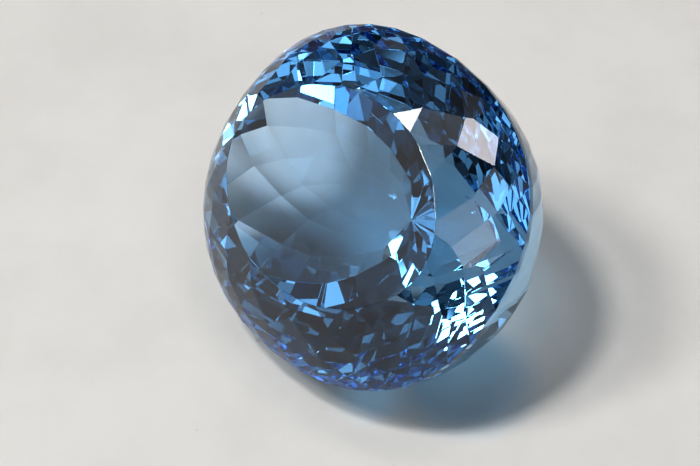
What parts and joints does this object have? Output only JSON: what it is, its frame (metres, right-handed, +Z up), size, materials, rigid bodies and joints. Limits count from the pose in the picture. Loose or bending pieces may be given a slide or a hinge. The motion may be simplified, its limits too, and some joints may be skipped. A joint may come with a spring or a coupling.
{
  "type": "cut topaz gemstone",
  "caption": "Loose faceted topaz with an oval cushion outline, a broad flat table and a deep pavilion of tiered kite facets, lying on one pavilion facet.",
  "frame": {"origin": "middle of the pavilion facet that the stone lies on", "axes": "+Z up from the surface it lies on, +X along the long axis of the outline, the table faces -Y and up"},
  "size_m": [0.0296, 0.0229, 0.0229],
  "materials": {
    "topaz": "clear steel-blue stone with sharp polished facets"
  },
  "bodies": {
    "root": {"topaz": "topaz"}
  },
  "joints": []
}
